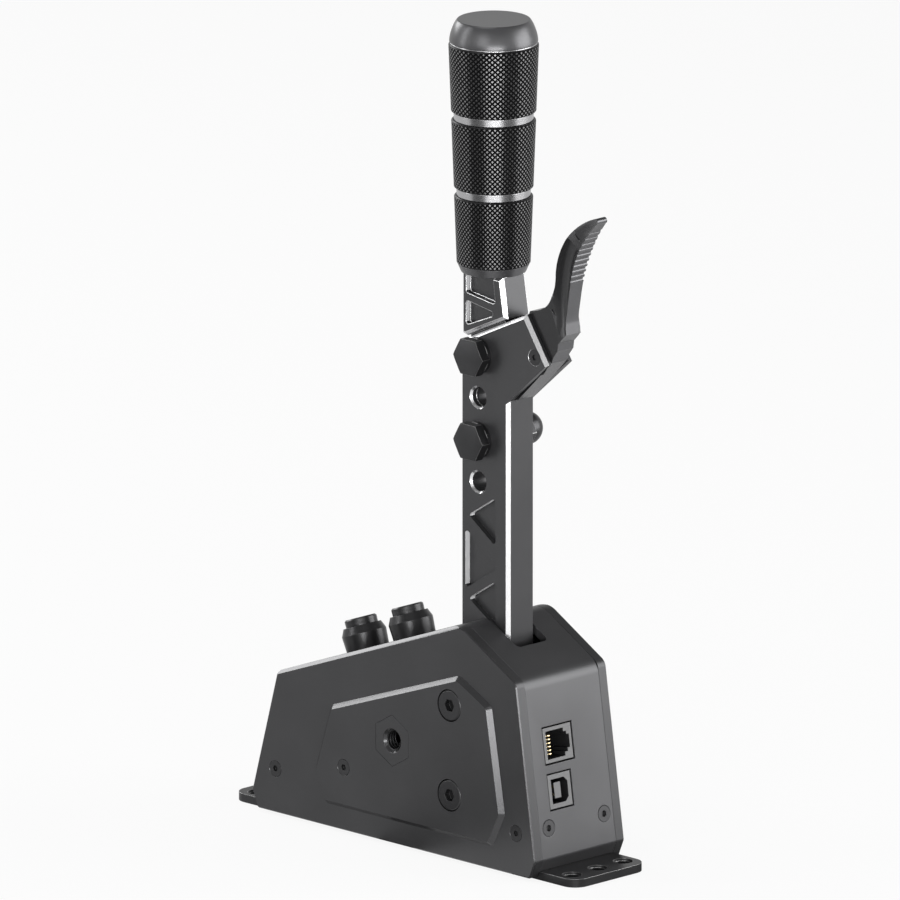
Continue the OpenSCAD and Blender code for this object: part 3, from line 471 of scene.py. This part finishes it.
FINISH_OF_NODE = {
    "base_plate": "base", "side_plate_right": "side", "side_plate_left": "side",
    "housing_cover": "cover", "tie_bars": "steel", "side_plate_screws": "black steel",
    "cover_screws": "black steel", "side_mount_inserts": "side", "pivot_shaft": "steel",
    "pivot_spacers": "steel",
    "pivot_screws": "black steel", "stop_bar": "steel", "stop_bar_screws": "black steel",
    "spring_bracket": "steel", "bracket_screws": "black steel", "lower_return_spring": "steel",
    "upper_return_spring": "steel", "main_board": "board", "board_spacers": "steel",
    "usb_socket": "socket", "link_socket": "socket", "sensor_board": "board",
    "button_bezels": "button", "button_switches": "black plastic", "button_nuts": "steel",
    "button_cap_rear": "button", "button_cap_front": "button", "lever_arm": "lever",
    "pivot_bearings": "steel", "sensor_magnet": "steel", "upper_arm": "lever",
    "clamp_bolts": "black steel", "clamp_washers": "black steel", "clamp_cap_nuts": "black steel",
    "grip_core": "silver",
    "grip_collar": "cap", "grip_rings": "silver", "grip_cap": "cap", "trigger_pin": "black steel",
    "trigger_switch": "black plastic", "trigger": "trigger",
}
FINISHES = {}
# Width in millimetres of the rounding on each node's sharp edges, and the finish of the rounding
EASED = {
    "side_plate_right": (0.25, None), "side_plate_left": (0.25, None),
    # The painted edge highlight finish lays a painted highlight along the rounded edges
    "housing_cover": (0.25, None), "base_plate": (0.35, "painted edge highlight"),
    "lever_arm": (0.2, "bare edge"), "upper_arm": (0.2, "bare edge"),
    "trigger": (0.4, "painted edge highlight"), "side_mount_inserts": (0.15, None),
    "clamp_bolts": (0.22, "painted edge highlight"), "clamp_cap_nuts": (0.22, "painted edge highlight"),
    "clamp_washers": (0.2, "painted edge highlight"),
    # Screw roundings are near-black: painted shade of the gap round their heads
    "pivot_screws": (0.2, "black plastic"), "stop_bar_screws": (0.2, "black plastic"),
    "side_plate_screws": (0.16, "black plastic"), "cover_screws": (0.16, "black plastic"),
    "button_bezels": (0.1, None), "button_cap_rear": (0.1, None),
    "button_cap_front": (0.1, None),
    "grip_collar": (0.2, None), "grip_rings": (0.25, None), "grip_cap": (0.2, None),
    "usb_socket": (0.12, None), "link_socket": (0.12, None),
}


# Making pieces by hand

def clear_selection():
    if bpy.context.mode != "OBJECT":
        bpy.ops.object.mode_set(mode="OBJECT")
    bpy.ops.object.select_all(action="DESELECT")


def start_edit(name):
    """Names the new primitive and opens it in edit mode."""
    bpy.context.object.name = name
    bpy.ops.object.mode_set(mode="EDIT")
    return bpy.context.object


def pick(test, mode="VERT"):
    """Selects the open mesh's vertices by their place, or its faces by their middle and normal."""
    bpy.ops.mesh.select_mode(type=mode)
    bpy.ops.mesh.select_all(action="DESELECT")
    bpy.ops.object.mode_set(mode="OBJECT")
    mesh = bpy.context.object.data
    if mode == "VERT":
        for v in mesh.vertices:
            v.select = test(v.co)
    else:
        for p in mesh.polygons:
            p.select = test(p.center, p.normal)
    bpy.ops.object.mode_set(mode="EDIT")


def settle(obj, body, finish, place):
    """Bakes the place into the mesh, and gives the piece its finish and body."""
    if bpy.context.mode != "OBJECT":
        bpy.ops.object.mode_set(mode="OBJECT")
    obj.matrix_world = place
    bpy.ops.object.transform_apply(location=True, rotation=True, scale=True)
    obj.data.materials.clear()
    obj.data.materials.append(FINISHES[finish])
    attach(obj, body)


def eased_copy(node, width, edge_finish):
    """Stands a copy with rounded edges in for a node, on the same body and with its finish."""
    clear_selection()
    source = frame["nodes"][node]
    source.select_set(True)
    bpy.context.view_layer.objects.active = source
    bpy.ops.object.duplicate()
    piece = bpy.context.object
    del piece["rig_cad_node"]
    piece.name = "eased_" + node
    bpy.ops.mesh.customdata_custom_splitnormals_clear()
    bpy.ops.object.mode_set(mode="EDIT")
    bpy.ops.mesh.select_mode(type="VERT")
    bpy.ops.mesh.select_all(action="SELECT")
    bpy.ops.mesh.remove_doubles(threshold=MERGE)
    bpy.ops.mesh.dissolve_limited(angle_limit=FLAT)
    bpy.ops.object.mode_set(mode="OBJECT")
    bpy.ops.object.shade_smooth_by_angle(angle=SMOOTH)
    ease = piece.modifiers.new("Ease", "BEVEL")
    ease.width = width
    ease.segments = 2
    ease.limit_method = "ANGLE"
    ease.angle_limit = SHARP
    ease.harden_normals = True
    if edge_finish:
        piece.data.materials.append(FINISHES[edge_finish])
        ease.material = 1
    bpy.ops.object.modifier_apply(modifier="Ease")
    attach(piece, source["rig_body"])
    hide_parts(node)


def face_of(node):
    """Frame at the middle of a socket's front: X out of the wall and Z up along it."""
    lean = bpy.context.scene.shifter_sizes.wall_lean
    low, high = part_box(node)
    middle = (Vector(low) + Vector(high)) / 2
    turn = Matrix.Rotation(-lean, 4, "Y")
    return Matrix.Translation(middle) @ turn @ Matrix.Translation((SOCKET_DEPTH / 2, 0, 0))


def top_of(node):
    """Middle and direction of a round node's top face."""
    source = frame["nodes"][node]
    faces = source.data.polygons
    up = max((p.normal for p in faces), key=lambda n: n.z).copy()
    top = [p for p in faces if p.normal.dot(up) > 0.999]
    middle = sum((p.center * p.area for p in top), Vector()) / sum(p.area for p in top)
    return source.matrix_world @ middle, (source.matrix_world.to_3x3() @ up).normalized()


def knurl_sleeve(node):
    """A tapered sleeve whose surface is a lattice of diamonds, with a plain edge at each end."""
    sizes = bpy.context.scene.shifter_sizes
    low, high = (Vector(p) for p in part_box(node))
    middle = (low + high) / 2
    tall = high.z - low.z
    wide = (high.x - low.x) / 2
    narrow = wide - sizes.grip_taper * tall
    border = sizes.knurl_border
    rows = round((tall - 2 * border) / sizes.knurl_rise)
    step = (tall - 2 * border) / rows
    heights = [0.0, border * 0.5] + [border + i * step for i in range(rows + 1)]
    heights += [tall - border * 0.5, tall]
    groove = sizes.knurl_depth

    def radius(h):
        full = narrow + (wide - narrow) * h / tall
        if h in (heights[0], heights[-1]):
            return full - SLEEVE_CHAMFER
        if h in (heights[1], heights[-2]):
            return full - SLEEVE_STEP
        return full - groove

    clear_selection()
    bpy.ops.mesh.primitive_circle_add(vertices=sizes.knurl_columns, radius=radius(0),
                                      location=(0, 0, 0))
    sleeve = start_edit("knurled_" + node.removeprefix("grip_"))
    bpy.ops.mesh.select_all(action="SELECT")
    for before, now in zip(heights, heights[1:]):
        bpy.ops.mesh.extrude_region_move(TRANSFORM_OT_translate={"value": (0, 0, now - before)})
        share = radius(now) / radius(before)
        bpy.ops.transform.resize(value=(share, share, 1), center_override=(0, 0, now))
    bpy.ops.mesh.extrude_region_move(TRANSFORM_OT_translate={"value": (0, 0, -SLEEVE_WALL)})
    share = SLEEVE_BORE / radius(tall)
    bpy.ops.transform.resize(value=(share, share, 1), center_override=(0, 0, tall))
    column = math.tau / sizes.knurl_columns

    def on_peak(co):
        row = round((co.z - border) / step)
        inside = 0 <= row <= rows and abs(border + row * step - co.z) < step * 0.2
        return inside and (round(math.atan2(co.y, co.x) / column) + row) % 2 == 0

    pick(on_peak)
    share = 1 + PEAK * groove / ((wide + narrow) / 2 - groove)
    bpy.ops.transform.resize(value=(share, share, 1), center_override=(0, 0, tall / 2))
    bpy.ops.mesh.select_all(action="SELECT")
    bpy.ops.mesh.quads_convert_to_tris(quad_method="SHORTEST_DIAGONAL")
    pick(on_peak)
    bpy.ops.mesh.bevel(offset=sizes.knurl_flat, segments=1, affect="VERTICES")
    bpy.ops.mesh.select_all(action="SELECT")
    bpy.ops.mesh.normals_make_consistent(inside=False)
    place = Matrix.Translation((middle.x, middle.y, low.z))
    settle(sleeve, "lever", "knurl", place)
    # Flat diamond tops take the lighter finish: a painted highlight
    sleeve.data.materials.append(FINISHES["knurl top"])
    for face in sleeve.data.polygons:
        inside = low.z + border < face.center.z < high.z - border
        if inside and abs(face.normal.z) < FLAT_TOP:
            face.material_index = 1
    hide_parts(node)


class SHIFTER_OT_sleeves(bpy.types.Operator):
    """Knurl the three sleeves of the grip"""
    bl_idname = "shifter.sleeves"
    bl_label = "Knurled sleeves"

    def execute(self, context):
        for node in SLEEVES:
            knurl_sleeve(node)
        return {"FINISHED"}


class SHIFTER_OT_edges(bpy.types.Operator):
    """Round the sharp edges of the machined and moulded parts"""
    bl_idname = "shifter.edges"
    bl_label = "Eased edges"

    def execute(self, context):
        for node, (width, edge_finish) in EASED.items():
            eased_copy(node, width * MM, edge_finish)
        return {"FINISHED"}


class SHIFTER_OT_button_skirts(bpy.types.Operator):
    """Fill the waist under the rims of the two button caps"""
    bl_idname = "shifter.button_skirts"
    bl_label = "Button skirts"

    def execute(self, context):
        for end in ("rear", "front"):
            node = "button_cap_" + end
            middle, up = top_of(node)
            clear_selection()
            bpy.ops.mesh.primitive_cylinder_add(vertices=96, radius=SKIRT_RADIUS, depth=SKIRT_TALL,
                                                location=(0, 0, 0))
            skirt = start_edit("button_skirt_" + end)
            bpy.ops.mesh.select_all(action="SELECT")
            bpy.ops.mesh.bevel(offset=SKIRT_ROUND, segments=2, affect="EDGES", clamp_overlap=True)
            turn = up.to_track_quat("Z", "Y").to_matrix().to_4x4()
            place = Matrix.Translation(middle - up * (SKIRT_TALL / 2 + SKIRT_BELOW_TOP)) @ turn
            settle(skirt, frame["nodes"][node]["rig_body"], "button", place)
            bpy.ops.object.shade_smooth_by_angle(angle=math.radians(30))
        return {"FINISHED"}


class SHIFTER_OT_jack_contacts(bpy.types.Operator):
    """Bend the spring contacts of the link jack"""
    bl_idname = "shifter.jack_contacts"
    bl_label = "Jack contacts"

    def execute(self, context):
        sizes = context.scene.shifter_sizes
        face = face_of("link_socket")
        low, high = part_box("link_socket")
        side = -(high[1] - low[1]) / 2 + WIRE_OFF_SIDE
        for i in range(sizes.contact_count):
            up = (i - (sizes.contact_count - 1) / 2) * sizes.contact_pitch
            clear_selection()
            bpy.ops.mesh.primitive_cylinder_add(vertices=10, radius=WIRE_RADIUS, depth=WIRE_START,
                                                location=(0, 0, 0), rotation=(0, math.pi / 2, 0))
            bpy.ops.object.transform_apply(location=True, rotation=True, scale=True)
            wire = start_edit("jack_contact_%d" % (i + 1))
            pick(lambda co, n: n.x > 0.9, "FACE")
            for out, aside in WIRE_STEPS:
                bpy.ops.mesh.extrude_region_move(
                    TRANSFORM_OT_translate={"value": (out * MM, aside * MM, 0)})
            place = face @ Matrix.Translation((-WIRE_INSIDE, side, up))
            settle(wire, "base", "gold", place)
            bpy.ops.object.shade_smooth()
        return {"FINISHED"}


class SHIFTER_OT_data_contacts(bpy.types.Operator):
    """Lay the contacts on the data socket's tongue"""
    bl_idname = "shifter.data_contacts"
    bl_label = "Data socket contacts"

    def execute(self, context):
        face = face_of("usb_socket")
        for side, left_or_right in ((-1, "l"), (1, "r")):
            for row, down_or_up in ((-1, "d"), (1, "u")):
                clear_selection()
                bpy.ops.mesh.primitive_cube_add(size=1, location=(0, 0, 0))
                strip = start_edit("data_contact_" + left_or_right + down_or_up)
                bpy.ops.mesh.select_all(action="SELECT")
                bpy.ops.transform.resize(value=STRIP)
                bpy.ops.mesh.bevel(offset=STRIP_ROUND, segments=2, affect="EDGES")
                pick(lambda co, n: n.x > 0.9, "FACE")
                bpy.ops.mesh.extrude_region_move(
                    TRANSFORM_OT_translate={"value": (STRIP_NOSE, -side * STRIP_DIP, 0)})
                x, y, z = STRIP_PLACE
                place = face @ Matrix.Translation((x, side * y, row * z))
                settle(strip, "base", "gold", place)
        return {"FINISHED"}


class SHIFTER_OT_mount_threads(bpy.types.Operator):
    """Cut the thread of the two side mounts"""
    bl_idname = "shifter.mount_threads"
    bl_label = "Side mount threads"

    def execute(self, context):
        sizes = context.scene.shifter_sizes
        low, high = (Vector(p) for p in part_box("side_mount_inserts"))
        middle = (low + high) / 2
        half_length = THREAD_TURNS * sizes.thread_pitch / 2
        depth = high.y - THREAD_DEPTH + half_length
        for name, side in (("right", -1), ("left", 1)):
            clear_selection()
            bpy.ops.mesh.primitive_circle_add(vertices=3, radius=THREAD_TOOTH,
                                              location=(THREAD_BORE, 0, 0),
                                              rotation=(math.pi / 2, 0, 0))
            thread = bpy.context.object
            thread.name = "mount_thread_" + name
            bpy.ops.object.transform_apply(location=True, rotation=True, scale=True)
            screw = thread.modifiers.new("Turns", "SCREW")
            screw.axis = "Z"
            screw.screw_offset = sizes.thread_pitch
            screw.iterations = THREAD_TURNS
            screw.steps = THREAD_STEPS
            screw.render_steps = THREAD_STEPS
            bpy.ops.object.modifier_apply(modifier="Turns")
            bpy.ops.object.mode_set(mode="EDIT")
            bpy.ops.mesh.select_all(action="SELECT")
            bpy.ops.mesh.normals_make_consistent(inside=False)
            place = Matrix.Translation((middle.x, side * depth, middle.z))
            place = place @ Matrix.Rotation(-side * math.pi / 2, 4, "X")
            place = place @ Matrix.Translation((0, 0, -half_length))
            settle(thread, "base", "black steel", place)
        return {"FINISHED"}


class SHIFTER_OT_finishes(bpy.types.Operator):
    """Give every node of the frame its finish"""
    bl_idname = "shifter.finishes"
    bl_label = "Finishes"

    def execute(self, context):
        FINISHES.update(make_finishes())
        for name, node in frame["nodes"].items():
            if name in SLEEVES:
                continue
            node.data.materials.clear()
            node.data.materials.append(FINISHES[FINISH_OF_NODE[name]])
        return {"FINISHED"}


# Stage

def softbox(name, where, target, width, height, watts):
    """A rectangular lamp that lights the part and isn't seen itself."""
    data = bpy.data.lights.new(name, "AREA")
    data.shape = "RECTANGLE"
    data.size = width
    data.size_y = height
    data.energy = watts
    lamp = bpy.data.objects.new(name, data)
    lamp.visible_camera = False
    bpy.context.scene.collection.objects.link(lamp)
    lamp.location = where
    lamp.rotation_euler = (Vector(target) - Vector(where)).to_track_quat("-Z", "Y").to_euler()


def photo_camera():
    """The photograph's view, from far off, at its scale."""
    scene = bpy.context.scene
    toward = Vector(TOWARD_CAMERA).normalized()
    data = bpy.data.cameras.new("photo_camera")
    data.sensor_width = SENSOR
    data.lens = SENSOR * AWAY / (PICTURE / PIXELS_IN_A_MM * MM)
    data.clip_end = 50
    camera = bpy.data.objects.new("photo_camera", data)
    scene.collection.objects.link(camera)
    camera.location = Vector(AIM) + toward * AWAY
    camera.rotation_euler = (-toward).to_track_quat("-Z", "Y").to_euler()
    scene.camera = camera


def white_floor():
    """A floor that is white to the camera, and in the metal a bright card between dark sides."""
    clear_selection()
    bpy.ops.mesh.primitive_plane_add(size=8, location=(0, 0, -0.2 * MM))
    floor = bpy.context.object
    floor.name = "floor"
    f = Finish("floor")
    f.set(Base_Color=(0.86, 0.86, 0.86, 1), Roughness=0.9)
    glow = f.add("Emission", Strength=1.0)
    path = f.add("LightPath")
    camera_ray = f.value(path, "Is Camera Ray")
    mirrored = f.value(path, "Is Glossy Ray") + f.value(path, "Is Transmission Ray")
    x, y, _ = f.parts(f.place())
    aside = y.angle(x) + math.pi / 4
    card = aside.size() < CARD_END
    dark = aside.size().between(CARD_END, DARK_END)
    right = aside.between(DARK_END, RIGHT_END)
    f.plug(glow.inputs[0], camera_ray + mirrored * (0.7 + 0.3 * card - 0.66 * dark + 0.2 * right))
    mix = f.add("MixShader")
    f.plug(mix.inputs[0], camera_ray * FLOOR_GLOW + mirrored * 0.88)
    f.plug(mix.inputs[1], f.shader.outputs[0])
    f.plug(mix.inputs[2], glow.outputs[0])
    f.plug(f.tree.nodes["Material Output"].inputs[0], mix.outputs[0])
    floor.data.materials.append(f.material)


def white_world():
    """A world that is white to the camera, dim as light, and darker overhead in the metal."""
    world = bpy.data.worlds.new("studio")
    bpy.context.scene.world = world
    world.use_nodes = True
    nodes, links = world.node_tree.nodes, world.node_tree.links
    dim_sky = nodes["Background"]
    dim_sky.inputs[0].default_value = (0.55, 0.55, 0.56, 1)
    dim_sky.inputs[1].default_value = 0.4
    seen_sky = nodes.new("ShaderNodeBackground")
    seen_sky.inputs[0].default_value = (1, 1, 1, 1)
    rays = nodes.new("ShaderNodeLightPath")
    camera_ray = Value(world.node_tree, rays.outputs["Is Camera Ray"])
    mirrored = (Value(world.node_tree, rays.outputs["Is Glossy Ray"])
                + Value(world.node_tree, rays.outputs["Is Transmission Ray"]))
    direction = nodes.new("ShaderNodeTexCoord")
    split = nodes.new("ShaderNodeSeparateXYZ")
    links.new(direction.outputs["Generated"], split.inputs[0])
    low_sky = Value(world.node_tree, split.outputs[2]) < 0.5
    strength = camera_ray + mirrored * (0.22 + 0.5 * low_sky)
    links.new(strength.socket, seen_sky.inputs[1])
    choose = nodes.new("ShaderNodeMixShader")
    links.new((camera_ray + mirrored).limit().socket, choose.inputs[0])
    links.new(dim_sky.outputs[0], choose.inputs[1])
    links.new(seen_sky.outputs[0], choose.inputs[2])
    links.new(choose.outputs[0], nodes["World Output"].inputs[0])


class SHIFTER_OT_stage(bpy.types.Operator):
    """Set the floor, the light and the camera"""
    bl_idname = "shifter.stage"
    bl_label = "Stage"

    def execute(self, context):
        context.scene.view_settings.view_transform = "Standard"
        photo_camera()
        white_floor()
        white_world()
        for name, lamp in LAMPS.items():
            softbox(name, *lamp)
        return {"FINISHED"}


class SHIFTER_PT_panel(bpy.types.Panel):
    bl_idname = "SHIFTER_PT_panel"
    bl_label = "Sequential shifter"
    bl_space_type = "VIEW_3D"
    bl_region_type = "UI"
    bl_category = "Shifter"

    def draw(self, context):
        for group in (context.scene.shifter_sizes, context.scene.shifter_colours):
            for key in group.bl_rna.properties.keys():
                if key not in ("rna_type", "name"):
                    self.layout.prop(group, key)
        for operator in OPERATORS:
            self.layout.operator(operator.bl_idname)


OPERATORS = (SHIFTER_OT_stage, SHIFTER_OT_finishes, SHIFTER_OT_edges, SHIFTER_OT_sleeves,
             SHIFTER_OT_button_skirts, SHIFTER_OT_jack_contacts, SHIFTER_OT_data_contacts,
             SHIFTER_OT_mount_threads)
CLASSES = (ShifterSizes, ShifterColours, *OPERATORS, SHIFTER_PT_panel)


def register():
    for cls in CLASSES:
        bpy.utils.register_class(cls)
    bpy.types.Scene.shifter_sizes = bpy.props.PointerProperty(type=ShifterSizes)
    bpy.types.Scene.shifter_colours = bpy.props.PointerProperty(type=ShifterColours)


def unregister():
    del bpy.types.Scene.shifter_colours
    del bpy.types.Scene.shifter_sizes
    for cls in reversed(CLASSES):
        bpy.utils.unregister_class(cls)


def main():
    register()
    bpy.ops.shifter.stage()
    bpy.ops.shifter.finishes()
    bpy.ops.shifter.edges()
    bpy.ops.shifter.sleeves()
    bpy.ops.shifter.button_skirts()
    bpy.ops.shifter.jack_contacts()
    bpy.ops.shifter.data_contacts()
    bpy.ops.shifter.mount_threads()


if __name__ == "__main__":
    main()
